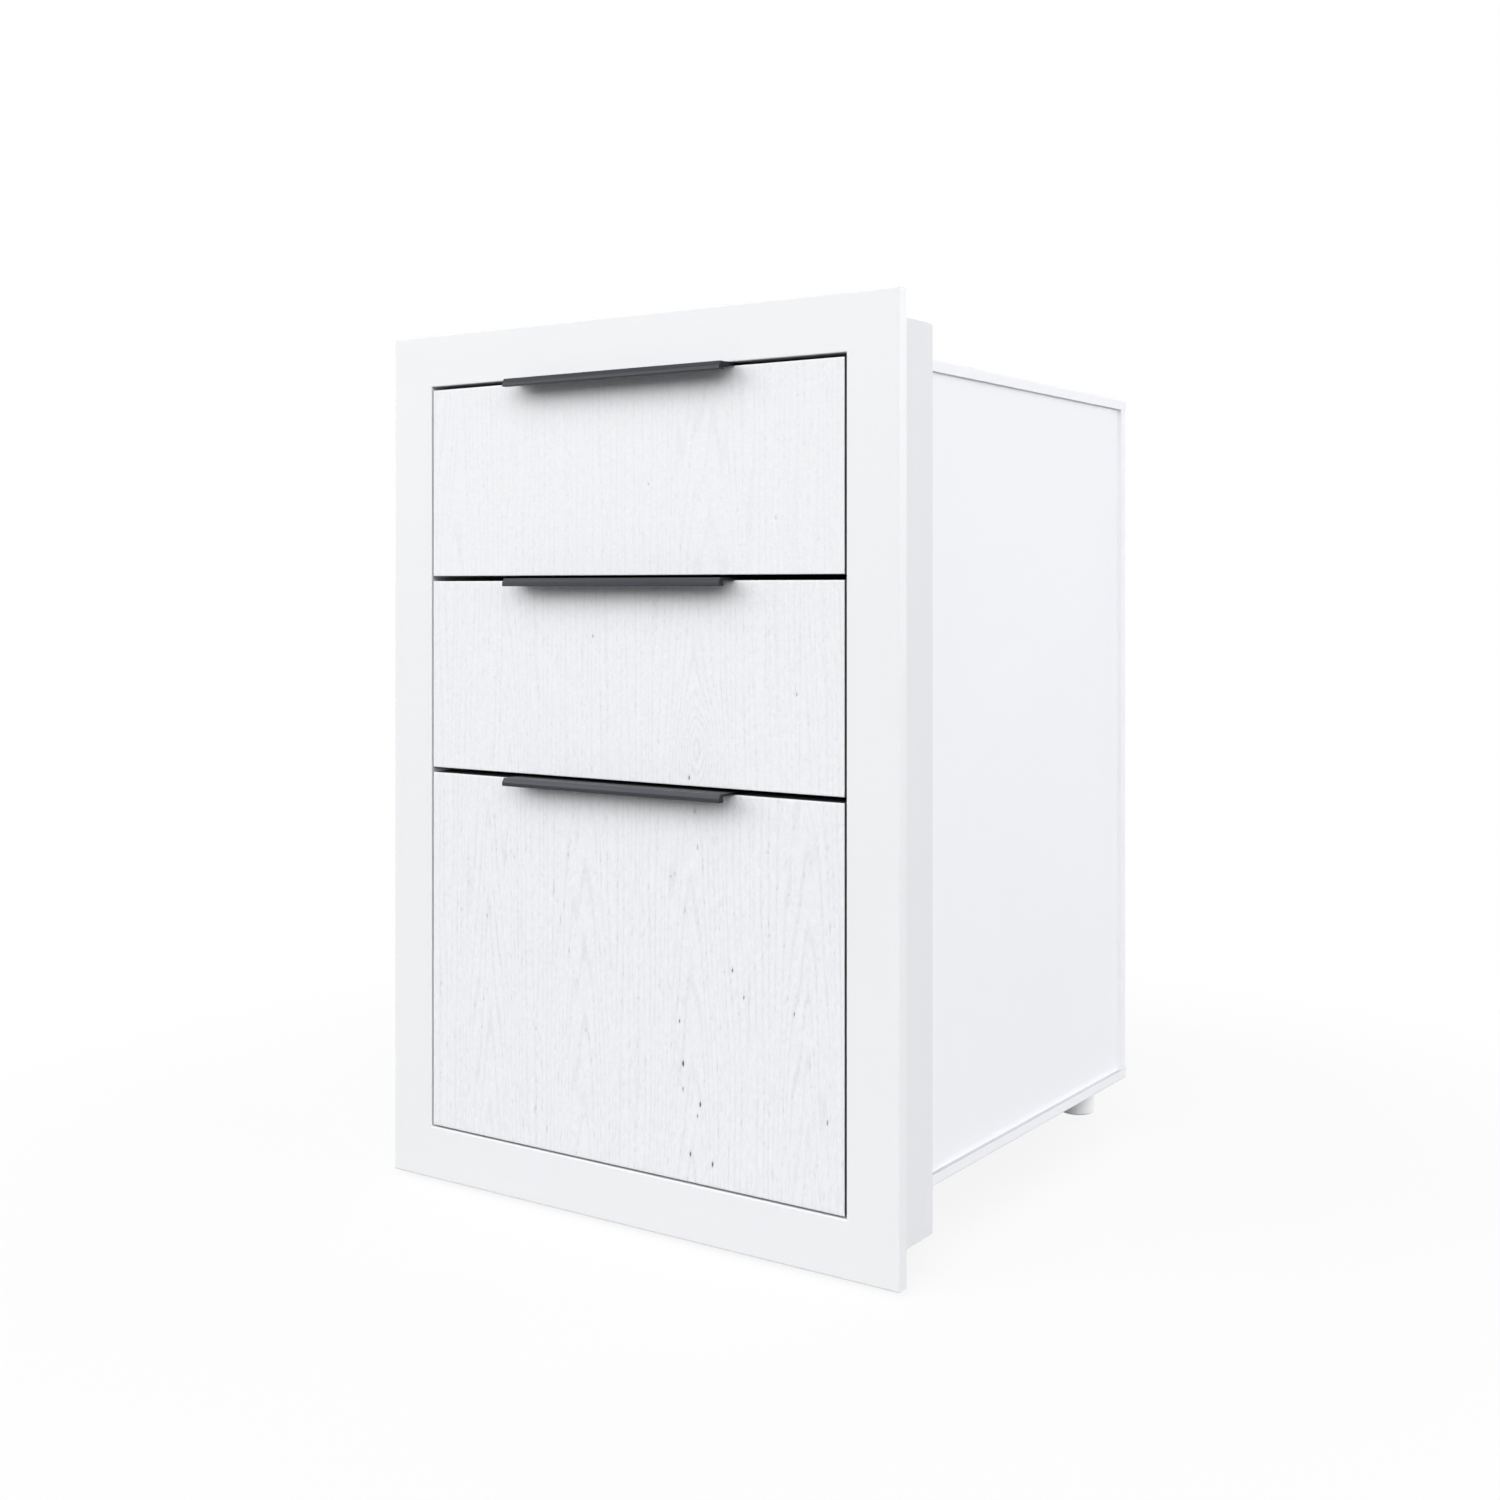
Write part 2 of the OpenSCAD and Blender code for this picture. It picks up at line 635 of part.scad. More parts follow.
face_frame();
mounting_sleeve();
top_panel();
bottom_panel();
left_side_panel();
right_side_panel();
back_panel();
foot_nuts();
cabinet_rail_screws();
cabinet_rail_left(1);  // cabinet_rail_left_1
cabinet_rail_left(2);  // cabinet_rail_left_2
cabinet_rail_left(3);  // cabinet_rail_left_3
cabinet_rail_right(1);  // cabinet_rail_right_1
cabinet_rail_right(2);  // cabinet_rail_right_2
cabinet_rail_right(3);  // cabinet_rail_right_3
mid_rail_left(1);  // mid_rail_left_1
mid_rail_left(2);  // mid_rail_left_2
mid_rail_left(3);  // mid_rail_left_3
mid_rail_right(1);  // mid_rail_right_1
mid_rail_right(2);  // mid_rail_right_2
mid_rail_right(3);  // mid_rail_right_3
outer_ball_cages(1);  // outer_ball_cages_1
outer_ball_cages(2);  // outer_ball_cages_2
outer_ball_cages(3);  // outer_ball_cages_3
inner_ball_cages(1);  // inner_ball_cages_1
inner_ball_cages(2);  // inner_ball_cages_2
inner_ball_cages(3);  // inner_ball_cages_3
drawer_front(1);  // drawer_front_1
drawer_front(2);  // drawer_front_2
drawer_front(3);  // drawer_front_3
handle(1);  // handle_1
handle(2);  // handle_2
handle(3);  // handle_3
drawer_tray(1);  // drawer_tray_1
drawer_tray(2);  // drawer_tray_2
drawer_tray(3);  // drawer_tray_3
drawer_inner_front(1);  // drawer_inner_front_1
drawer_inner_front(2);  // drawer_inner_front_2
drawer_inner_front(3);  // drawer_inner_front_3
drawer_back(1);  // drawer_back_1
drawer_back(2);  // drawer_back_2
drawer_back(3);  // drawer_back_3
drawer_rail_left(1);  // drawer_rail_left_1
drawer_rail_left(2);  // drawer_rail_left_2
drawer_rail_left(3);  // drawer_rail_left_3
drawer_rail_right(1);  // drawer_rail_right_1
drawer_rail_right(2);  // drawer_rail_right_2
drawer_rail_right(3);  // drawer_rail_right_3
drawer_screws(1);  // drawer_screws_1
drawer_screws(2);  // drawer_screws_2
drawer_screws(3);  // drawer_screws_3
foot(-foot_x, foot_front_y);  // foot_front_left
foot(foot_x, foot_front_y);  // foot_front_right
foot(-foot_x, foot_rear_y);  // foot_rear_left
foot(foot_x, foot_rear_y);  // foot_rear_right
stud(-foot_x, foot_front_y);  // stud_front_left
stud(foot_x, foot_front_y);  // stud_front_right
stud(-foot_x, foot_rear_y);  // stud_rear_left
stud(foot_x, foot_rear_y);  // stud_rear_right
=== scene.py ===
# %% [markdown]
# # A drawer cabinet for an outdoor kitchen
#
# The cabinet slides into a cut-out in a kitchen island: a face frame covers the cut-out's edge, and
# three drawers with wood-grain fronts run on ball-bearing slides behind it. Its construction is
# finished already and comes in as a fixed frame of solid parts. This lesson adds what the eye sees:
# the relief of the painted wood, the screws and threads, and a finish for every surface.

# %% Load the finished construction
import math

import bmesh
import bpy
import numpy as np
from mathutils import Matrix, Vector


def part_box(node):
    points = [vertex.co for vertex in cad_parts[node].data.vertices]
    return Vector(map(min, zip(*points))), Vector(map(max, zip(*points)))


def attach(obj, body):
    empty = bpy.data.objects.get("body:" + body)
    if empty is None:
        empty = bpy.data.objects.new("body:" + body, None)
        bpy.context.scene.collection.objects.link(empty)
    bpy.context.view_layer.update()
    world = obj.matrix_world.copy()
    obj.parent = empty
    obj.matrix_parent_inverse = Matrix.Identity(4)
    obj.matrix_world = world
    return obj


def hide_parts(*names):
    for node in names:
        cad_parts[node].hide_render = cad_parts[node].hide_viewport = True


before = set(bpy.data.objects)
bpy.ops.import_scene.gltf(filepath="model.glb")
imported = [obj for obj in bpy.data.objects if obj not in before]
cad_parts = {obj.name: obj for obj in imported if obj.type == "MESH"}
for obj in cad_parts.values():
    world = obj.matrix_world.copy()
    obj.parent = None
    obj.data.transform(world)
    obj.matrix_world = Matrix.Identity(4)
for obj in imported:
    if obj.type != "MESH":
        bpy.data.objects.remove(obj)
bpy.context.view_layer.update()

MM = 0.001

# %% [markdown]
# ## The camera
#
# A product photo like this one is taken with a level camera whose lens is shifted, so that upright
# edges stay upright. The picture gives the focal length and the horizon in pixels, and from these
# follow the lens in millimetres and the shift. Blender measures the shift as a share of the picture.

# %% Set up the camera
PHOTO_PX = 1500
FOCAL_PX = 1826.35
HORIZON_PX = 588.85
SENSOR_MM = 36.0
CAMERA_PLACE = Vector((0.7705, -1.1898, 0.4336))
CAMERA_TURN = math.radians(34.127)

lens = bpy.data.cameras.new("camera")
lens.sensor_width = SENSOR_MM
lens.lens = FOCAL_PX / PHOTO_PX * SENSOR_MM
lens.shift_y = (HORIZON_PX - PHOTO_PX / 2) / PHOTO_PX
camera = bpy.data.objects.new("camera", lens)
camera.location = CAMERA_PLACE
camera.rotation_euler = (math.radians(90), 0, CAMERA_TURN)
bpy.context.scene.collection.objects.link(camera)
bpy.context.scene.camera = camera
print(f"lens {lens.lens:.1f} mm, shift {lens.shift_y:.3f}")

# %% [markdown]
# ## Soft studio light
#
# White paint shows its form only through soft shade. A single lamp on each side would draw a bright
# line down every rounded corner, where two lamps add up, so the lamps here stand in a ring, 45 degrees
# apart: then the light changes little from one upright face to the next, and a corner is hardly
# brighter. Each is a sun lamp, far away and seen as a disc many degrees wide. The one in front hangs
# high, so that each handle throws a soft shadow down its drawer. The two beside it are lower, and the
# rest come in almost level, because high lamps all round would burn out the top.

# %% Hang the lamps
scene = bpy.context.scene
scene.view_settings.view_transform = "Standard"


def broad_lamp(name, azimuth, elevation, width, strength):
    """Far light from a disc: angles in degrees, azimuth 0 in front (-Y) and 90 on the right (+X)."""
    lamp = bpy.data.lights.new(name, "SUN")
    lamp.energy = strength
    lamp.angle = math.radians(width)
    holder = bpy.data.objects.new(name, lamp)
    holder.rotation_euler = (math.radians(90 - elevation), 0, math.radians(azimuth))
    scene.collection.objects.link(holder)


# Each lamp has its azimuth, elevation, width and strength.
LAMPS = {
    "front": (0, 38, 62, 1.46),
    "front_left": (-45, 23, 36, 1.13),
    "front_right": (45, 23, 36, 1.01),
    "right": (90, 6, 36, 1.32),
    "left": (-90, 6, 36, 1.10),
    "rear_right": (135, 6, 36, 1.22),
    "rear": (180, 6, 36, 0.85),
    "rear_left": (-135, 6, 36, 0.85),
}
for name, lamp in LAMPS.items():
    broad_lamp(f"{name}_lamp", *lamp)
print(len(LAMPS), "lamps in a ring")

# %% [markdown]
# ## World and floor
#
# The Light Path node tells which kind of ray asks for a colour. The camera and mirror-like surfaces
# get pure white, and the rays that carry light get a dim and slightly blue grey, which keeps the
# shadows cool. The floor works the same way, and near the cabinet it keeps a share of its real
# shading, so that a faint shadow is left. It lies a little under the frame, so that the feet can be
# screwed right down without touching it.

# %% Build the world and the floor
WORLD_LIGHT = 0.127
WORLD_TINT = (0.88, 0.95, 1.0, 1)
FLOOR_BOUNCE = 0.20
FLOOR_SEEN = 0.9
FLOOR_Z = -3.2 * MM
FLOOR_HALF = 30
SHADOW_SHARE = 0.13
SHADOW_FADE = 0.3, 0.9


def add(tree, kind, inputs=None, **properties):
    """Adds a node, sets its properties, and sets its inputs by name or number."""
    node = tree.nodes.new(kind)
    for key, value in properties.items():
        setattr(node, key, value)
    for key, value in (inputs or {}).items():
        node.inputs[key].default_value = value
    return node


def seen_directly(tree):
    """1 for rays from the camera and for glossy and transmitted ones, and 0 for the rest."""
    path = add(tree, "ShaderNodeLightPath")
    first = add(tree, "ShaderNodeMath", operation="MAXIMUM")
    both = add(tree, "ShaderNodeMath", operation="MAXIMUM")
    tree.links.new(path.outputs["Is Camera Ray"], first.inputs[0])
    tree.links.new(path.outputs["Is Glossy Ray"], first.inputs[1])
    tree.links.new(first.outputs[0], both.inputs[0])
    tree.links.new(path.outputs["Is Transmission Ray"], both.inputs[1])
    return both.outputs[0]


world = bpy.data.worlds.new("white_room")
world.use_nodes = True
scene.world = world
tree = world.node_tree
tree.nodes.clear()
dim = add(tree, "ShaderNodeBackground", {"Color": WORLD_TINT, "Strength": WORLD_LIGHT})
white = add(tree, "ShaderNodeBackground", {"Color": (1, 1, 1, 1), "Strength": 1.0})
mix = add(tree, "ShaderNodeMixShader")
out = add(tree, "ShaderNodeOutputWorld")
tree.links.new(seen_directly(tree), mix.inputs[0])
tree.links.new(dim.outputs[0], mix.inputs[1])
tree.links.new(white.outputs[0], mix.inputs[2])
tree.links.new(mix.outputs[0], out.inputs[0])


def floor_paint():
    """White to look at, with a faint shadow that fades with distance, and throws little light back."""
    material = bpy.data.materials.new("floor_paint")
    material.use_nodes = True
    tree = material.node_tree
    tree.nodes.clear()
    bounce = add(tree, "ShaderNodeBsdfDiffuse", {"Color": (FLOOR_BOUNCE,) * 3 + (1,)})
    paint = add(tree, "ShaderNodeBsdfDiffuse", {"Color": (FLOOR_SEEN,) * 3 + (1,)})
    glow = add(tree, "ShaderNodeEmission", {"Color": (1, 1, 1, 1), "Strength": 1.0})
    place = add(tree, "ShaderNodeTexCoord")
    length = add(tree, "ShaderNodeVectorMath", operation="LENGTH")
    fade = add(
        tree,
        "ShaderNodeMapRange",
        {"From Min": SHADOW_FADE[0], "From Max": SHADOW_FADE[1], "To Min": 1 - SHADOW_SHARE},
        interpolation_type="SMOOTHSTEP",
    )
    seen = add(tree, "ShaderNodeMixShader")
    mix = add(tree, "ShaderNodeMixShader")
    out = add(tree, "ShaderNodeOutputMaterial")
    tree.links.new(place.outputs["Object"], length.inputs[0])
    tree.links.new(length.outputs["Value"], fade.inputs["Value"])
    tree.links.new(fade.outputs[0], seen.inputs[0])
    tree.links.new(paint.outputs[0], seen.inputs[1])
    tree.links.new(glow.outputs[0], seen.inputs[2])
    tree.links.new(seen_directly(tree), mix.inputs[0])
    tree.links.new(bounce.outputs[0], mix.inputs[1])
    tree.links.new(seen.outputs[0], mix.inputs[2])
    tree.links.new(mix.outputs[0], out.inputs[0])
    return material


def flat_square(name, half, z):
    """One square of the given half width, level at height z."""
    mesh = bpy.data.meshes.new(name)
    corners = [(-half, -half, z), (half, -half, z), (half, half, z), (-half, half, z)]
    mesh.from_pydata(corners, [], [(0, 1, 2, 3)])
    thing = bpy.data.objects.new(name, mesh)
    scene.collection.objects.link(thing)
    return thing


floor = flat_square("floor", FLOOR_HALF, FLOOR_Z)
floor.data.materials.append(floor_paint())
print("white world and a pale floor")

# %% [markdown]
# ## How a finish is made
#
# A painted or plated surface is never one flat colour: it has a slow drift in tone, a fine texture
# that only the highlights show, and patches that shine a little more or less. Each finish below is
# therefore a Principled shader whose colour, roughness and normal each follow a noise. The noise
# reads Object coordinates in metres, so its scale is real: 500 means features about 2 mm across.

# %% Helpers for finishes
NOISE_SPREAD = 0.3


def new_finish(name):
    """A new node material, with its tree and its Principled shader."""
    material = bpy.data.materials.new(name)
    material.use_nodes = True
    return material, material.node_tree, material.node_tree.nodes["Principled BSDF"]


def noise(tree, scale, stretch=(1, 1, 1), detail=2.0):
    """A cloudy value from 0 to 1 over Object coordinates, squeezed along each axis by stretch."""
    place = add(tree, "ShaderNodeTexCoord")
    squeeze = add(tree, "ShaderNodeMapping", {"Scale": stretch})
    cloud = add(tree, "ShaderNodeTexNoise", {"Scale": scale, "Detail": detail})
    tree.links.new(place.outputs["Object"], squeeze.inputs["Vector"])
    tree.links.new(squeeze.outputs["Vector"], cloud.inputs["Vector"])
    return cloud.outputs["Fac"]


def between(tree, value, low, high, socket):
    """Carries a noise value into a socket, spread over low to high round the noise's middle."""
    start, end = 0.5 - NOISE_SPREAD, 0.5 + NOISE_SPREAD
    limits = {"From Min": start, "From Max": end, "To Min": low, "To Max": high}
    span = add(tree, "ShaderNodeMapRange", limits)
    tree.links.new(value, span.inputs["Value"])
    tree.links.new(span.outputs[0], socket)


def tint(tree, value, dark, light, socket):
    """Blends two linear colours over a noise value's usual range, and feeds the result to a socket."""
    ramp = add(tree, "ShaderNodeValToRGB")
    stops = ramp.color_ramp.elements
    stops[0].position, stops[0].color = 0.5 - NOISE_SPREAD, (*dark, 1)
    stops[1].position, stops[1].color = 0.5 + NOISE_SPREAD, (*light, 1)
    tree.links.new(value, ramp.inputs[0])
    tree.links.new(ramp.outputs[0], socket)


def raise_bumps(tree, shader, value, height, strength=1.0):
    """Tilts the shader's normal as if the value were a relief of that height in metres."""
    bump = add(tree, "ShaderNodeBump", {"Strength": strength, "Distance": height})
    tree.links.new(value, bump.inputs["Height"])
    tree.links.new(bump.outputs[0], shader.inputs["Normal"])


def dress(node_name, material):
    """Gives one part of the construction its finish."""
    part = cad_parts[node_name]
    part.data.materials.clear()
    part.data.materials.append(material)


# %% [markdown]
# ## Powder coat on the sheet metal
#
# Powder is sprayed on dry and baked, and melts into a skin with a faint orange peel about 2 mm
# across. Here the peel is a bump only a few microns high, because on a satin white it shows just in
# the highlights. The box behind the frame gets a cooler and duller coat: with the frame's gloss, its
# side would mirror the low lamp behind it, and the picture shows it even from top to bottom. The
# box's coat is also lighter than the frame's, as painted light, and the sleeve's coat darker, as
# painted shade, though all three are one paint. The bottom sheet's lip turns its cut edge up, where
# the picture has a thin grey line, and a step in height greys the coat there as painted shade. The
# Mix node has sockets for every kind of value, so its colour sockets are named by their numbers.

# %% Mix the powder coat
SATIN = 0.45, 0.45
DULL = 0.63, 0.25
PEEL_HEIGHT = 0.01 * MM


def powder_coat(name, light, dark, gloss=SATIN):
    """Baked paint: slow drift in tone, faint orange peel, and gloss as (roughness, specular)."""
    material, tree, shader = new_finish(name)
    tint(tree, noise(tree, 7, detail=3), dark, light, shader.inputs["Base Color"])
    between(tree, noise(tree, 60), gloss[0] - 0.05, gloss[0] + 0.05, shader.inputs["Roughness"])
    shader.inputs["Specular IOR Level"].default_value = gloss[1]
    raise_bumps(tree, shader, noise(tree, 520, detail=1.0), PEEL_HEIGHT, 0.6)
    return material


# The box's lighter white is painted light, and the sleeve's darker white is painted shade.
frame_coat = powder_coat("frame_coat", (0.855, 0.86, 0.875), (0.84, 0.845, 0.86))
sleeve_coat_painted_shade = powder_coat("sleeve_coat_painted_shade", (0.825, 0.83, 0.85), (0.81, 0.815, 0.835), DULL)
BOX_WHITE_PAINTED_LIGHT = (0.92, 0.927, 0.955), (0.905, 0.912, 0.94), DULL
box_coat_painted_light = powder_coat("box_coat_painted_light", *BOX_WHITE_PAINTED_LIGHT)
bottom_coat = powder_coat("bottom_coat", *BOX_WHITE_PAINTED_LIGHT)

# %% Grey the lip's edge with painted shade, and dress the sheets
LIP_EDGE_SHADE_GREY = (0.72, 0.73, 0.76, 1)
EDGE_DEPTH = 0.3 * MM
EDGE_BLEND = 0.1 * MM
MIX_A, MIX_B, MIX_RESULT = 6, 7, 2


def grey_above(material, height):
    """Blends a coat to grey over a height, as painted shade: the share of grey is a short ramp in z.
    """
    tree = material.node_tree
    shader = tree.nodes["Principled BSDF"]
    place = add(tree, "ShaderNodeTexCoord")
    parts = add(tree, "ShaderNodeSeparateXYZ")
    step = add(tree, "ShaderNodeMapRange", {"From Min": height, "From Max": height + EDGE_BLEND})
    grey = add(tree, "ShaderNodeMix", {MIX_B: LIP_EDGE_SHADE_GREY}, data_type="RGBA")
    colour = shader.inputs["Base Color"].links[0].from_socket
    tree.links.new(place.outputs["Object"], parts.inputs[0])
    tree.links.new(parts.outputs["Z"], step.inputs["Value"])
    tree.links.new(step.outputs[0], grey.inputs["Factor"])
    tree.links.new(colour, grey.inputs[MIX_A])
    tree.links.new(grey.outputs[MIX_RESULT], shader.inputs["Base Color"])


# The grey line along the top of the bottom sheet's lip is painted shade.
grey_above(bottom_coat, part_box("bottom_panel")[1].z - EDGE_DEPTH)
dress("face_frame", frame_coat)
dress("mounting_sleeve", sleeve_coat_painted_shade)
for part in ("top_panel", "left_side_panel", "right_side_panel", "back_panel"):
    dress(part, box_coat_painted_light)
dress("bottom_panel", bottom_coat)
print("powder coat on seven sheets")

# %% [markdown]
# ## Dark anodised handles
#
# The pulls are extruded aluminium, anodised almost black. Extrusion leaves hair-fine lines along the
# length, so the noise that drives their gloss is drawn out a hundredfold along X.

# %% Anodise the handles
MARK_HEIGHT = 0.01 * MM


def anodised(name):
    """Dark anodised aluminium with hair lines along X."""
    material, tree, shader = new_finish(name)
    lines = noise(tree, 900, stretch=(0.01, 1, 1), detail=2)
    tint(tree, lines, (0.036, 0.038, 0.042), (0.052, 0.054, 0.060), shader.inputs["Base Color"])
    between(tree, lines, 0.34, 0.44, shader.inputs["Roughness"])
    shader.inputs["Metallic"].default_value = 1.0
    raise_bumps(tree, shader, lines, MARK_HEIGHT, 0.5)
    return material


handle_coat = anodised("handle_anodised")
for n in (1, 2, 3):
    dress(f"handle_{n}", handle_coat)
print("three handles")

# %% [markdown]
# ## Zinc, steel and plastic
#
# The slides are rolled from zinc-plated strip, which keeps long drawing marks, and the plating
# itself is a little cloudy. The balls are polished, and the fasteners are plain bright zinc. The
# feet are turned from white nylon, and the drawer boxes carry a satin light grey.


# %% Mix the remaining finishes
def plated(name, light, dark, rough, stretch):
    """Zinc or steel: cloudy tone and drawing marks in the gloss, drawn out along one axis."""
    material, tree, shader = new_finish(name)
    tint(tree, noise(tree, 45, detail=4), dark, light, shader.inputs["Base Color"])
    marks = noise(tree, 1400, stretch=stretch, detail=2)
    between(tree, marks, rough - 0.07, rough + 0.07, shader.inputs["Roughness"])
    shader.inputs["Metallic"].default_value = 1.0
    raise_bumps(tree, shader, marks, 0.8 * MARK_HEIGHT, 0.5)
    return material


def nylon(name):
    """Matt white plastic with a fine turned grain."""
    material, tree, shader = new_finish(name)
    tint(tree, noise(tree, 30), (0.91, 0.92, 0.93), (0.94, 0.95, 0.96), shader.inputs["Base Color"])
    between(tree, noise(tree, 200), 0.46, 0.58, shader.inputs["Roughness"])
    raise_bumps(tree, shader, noise(tree, 1500, stretch=(1, 1, 3)), MARK_HEIGHT, 0.5)
    return material


slide_zinc = plated("slide_zinc", (0.66, 0.67, 0.69), (0.54, 0.55, 0.57), 0.34, (1, 0.01, 1))
ball_steel = plated("ball_steel", (0.62, 0.62, 0.64), (0.55, 0.55, 0.57), 0.18, (1, 1, 1))
bright_zinc = plated("bright_zinc", (0.70, 0.71, 0.72), (0.60, 0.61, 0.63), 0.28, (1, 1, 1))
foot_nylon = nylon("foot_nylon")
tray_coat = powder_coat("tray_coat", (0.70, 0.71, 0.73), (0.67, 0.68, 0.70))

for side in ("left", "right"):
    for n in (1, 2, 3):
        for member in ("cabinet", "mid", "drawer"):
            dress(f"{member}_rail_{side}_{n}", slide_zinc)
for n in (1, 2, 3):
    for cage in ("outer", "inner"):
        dress(f"{cage}_ball_cages_{n}", ball_steel)
    for part in ("tray", "inner_front", "back"):
        dress(f"drawer_{part}_{n}", tray_coat)
FOOT_PLACES = ("front_left", "front_right", "rear_left", "rear_right")
for place in FOOT_PLACES:
    dress(f"foot_{place}", foot_nylon)
for part in ("foot_nuts", "cabinet_rail_screws"):
    dress(part, bright_zinc)
print("slides, cages, boxes, feet and fasteners")

# %% [markdown]
# ## Wood-grain fronts
#
# The fronts are boards whose soft early wood was brushed out before painting, so the hard rings
# stand up and the soft ones are fine grooves. Cut flat, a tree shows its rings as nested arches whose
# legs run out into upright lines. That is a height field: each point of the face lies a little
# deeper than the ridges, by a depth that is a function of its place across and up the board. An
# arch here is a place where the ring number falls off towards the middle, and the whole field
# slides upwards along it. A knot is one more small hill in the ring number, with closed rings.


# %% Noise on a grid
CELLS = 256


def lattice_noise(x, z, cell_x, cell_z, seed):
    """Smooth value noise: random numbers at the corners of cells, blended with 3t^2 - 2t^3."""
    values = np.random.default_rng(seed).random((CELLS, CELLS))
    gx, gz = x / cell_x + CELLS / 2 + 0.5, z / cell_z + CELLS / 2 + 0.5
    ix, iz = np.floor(gx).astype(int), np.floor(gz).astype(int)
    tx, tz = gx - ix, gz - iz
    tx, tz = tx * tx * (3 - 2 * tx), tz * tz * (3 - 2 * tz)
    a = values[ix % CELLS, iz % CELLS]
    b = values[(ix + 1) % CELLS, iz % CELLS]
    c = values[ix % CELLS, (iz + 1) % CELLS]
    d = values[(ix + 1) % CELLS, (iz + 1) % CELLS]
    return (a * (1 - tx) + b * tx) * (1 - tz) + (c * (1 - tx) + d * tx) * tz


# %% The rings
RING_STEP = 4.8 * MM
ARCH_R = 6 * MM
ARCH_W = 22 * MM
ARCH_CLIMB = 17.0


def hill(x, z, place, size):
    """1 at a place, falling off as exp of minus the squared distance in half widths and heights."""
    return np.exp(-(((x - place[0]) / size[0]) ** 2) - ((z - place[1]) / size[1]) ** 2)


def ring_number(x, z, arches, knots):
    """Steps to the nearest arch's axis, plus a slide up each axis, plus the hills of the knots."""
    steps = np.min([np.sqrt((x - c) ** 2 + ARCH_R**2) for c, _ in arches], axis=0) / RING_STEP
    for c, foot in arches:
        steps += ARCH_CLIMB * (z - foot) * np.exp(-(((x - c) / ARCH_W) ** 2))
    for place, size, rings in knots:
        steps += rings * hill(x, z, place, size)
    return steps


# %% [markdown]
# No ring is straight or even. So the place across is first shifted by a slow sway and a quick one,
# the ring number drifts a little from strip to strip, and each ring is bold in some stretches and
# faint in others. Between the rings lie the fibres, and the pores are those few cells of a finer noise
# that rise over a limit. A pit is a small oval hole.

# %% The relief of one board
SLOW_SWAY, SLOW_CELL = 3.5 * MM, (50 * MM, 120 * MM)
QUICK_SWAY, QUICK_CELL = 0.9 * MM, (9 * MM, 40 * MM)
RING_DRIFT, DRIFT_CELL = 1.6, (7 * MM, 160 * MM)
FAINTEST, BOLD_LENGTH = 0.25, 30 * MM
ARCH_BOLDER, ARCH_REACH = 0.1, 13 * MM
KNOT_BOLDER, KNOT_REACH = 0.5, 1.7
FIBRE_CELL, PORE_CELL = (1.3 * MM, 3.0 * MM), (1.1 * MM, 2.8 * MM)
PORE_LIMIT = 0.72
PIT_WIDTHS, PIT_STRETCH = (0.42 * MM, 0.50 * MM, 0.58 * MM), 2.6
RING_DEPTH, FIBRE_DEPTH = 0.13 * MM, 0.10 * MM
PORE_DEPTH, PIT_DEPTH = 0.22 * MM, 0.8 * MM


def wander(x, z, cell, seed):
    """Noise from -0.5 to 0.5 with the given cell."""
    return lattice_noise(x, z, *cell, seed) - 0.5


def grain_depth(x, z, arches, knots, pits, seed):
    """Depth of a board's face below its ridges, in metres: rings, fibres, pores and pits added up.

    A ring's groove is the cosine of the ring number, raised to the fifth power to make it narrow.
    """
    swayed = x + SLOW_SWAY * wander(x, z, SLOW_CELL, seed)
    swayed += QUICK_SWAY * wander(x, z, QUICK_CELL, seed + 1)
    rings = ring_number(swayed, z, arches, knots)
    rings += RING_DRIFT * wander(x, z, DRIFT_CELL, seed + 5)
    groove = (0.5 + 0.5 * np.cos(2 * np.pi * rings)) ** 5
    bold = FAINTEST + (1 - FAINTEST) * lattice_noise(rings, z, 1.0, BOLD_LENGTH, seed + 2)
    for c, _ in arches:
        bold = bold * (1 + ARCH_BOLDER * np.exp(-(((x - c) / ARCH_REACH) ** 2)))
    for place, size, _ in knots:
        around = (KNOT_REACH * size[0], KNOT_REACH * size[1])
        bold = bold * (1 + KNOT_BOLDER * hill(x, z, place, around))
    fibre = lattice_noise(swayed, z, *FIBRE_CELL, seed + 3)
    pore = lattice_noise(swayed, z, *PORE_CELL, seed + 4)
    pore = np.clip(pore - PORE_LIMIT, 0, 1) / (1 - PORE_LIMIT)
    depth = RING_DEPTH * groove * bold + FIBRE_DEPTH * fibre
    depth += PORE_DEPTH * pore * (0.5 + 0.5 * groove)
    for k, place in enumerate(pits):
        wide = PIT_WIDTHS[k % len(PIT_WIDTHS)]
        depth += PIT_DEPTH * hill(x, z, place, (wide, PIT_STRETCH * wide))
    return depth


# %% [markdown]
# The board itself is one closed surface. Its grid runs across the face, round the eased edges and
# back along the sides. The grain runs upright, so the grid is fine across the board and coarse
# along it, which spends the triangles where the relief changes. The tall front is coarser along the
# grain, so that it stays within a budget of 200,000 triangles.

# %% Build the boards
EDGE_STEPS = 3
ACROSS_STEP = 0.56 * MM
UP_STEP = {1: 1.0 * MM, 2: 1.0 * MM, 3: 1.85 * MM}
EDGE_R = 0.5 * MM


def edge_ring(low, high, step, thick):
    """Places along one way, with depths: side wall, quarter circle of the edge, face, and back."""
    angle = np.linspace(0, np.pi / 2, EDGE_STEPS + 1)
    inset = EDGE_R * (1 - np.cos(angle))
    sink = EDGE_R * (1 - np.sin(angle))
    count = max(2, round((high - low - 2 * EDGE_R) / step))
    face = np.linspace(low + EDGE_R, high - EDGE_R, count + 1)[1:-1]
    place = np.concatenate([[low], low + inset, face, (high - inset)[::-1], [high]])
    depth = np.concatenate([[thick], sink, np.zeros(len(face)), sink[::-1], [thick]])
    return place, depth


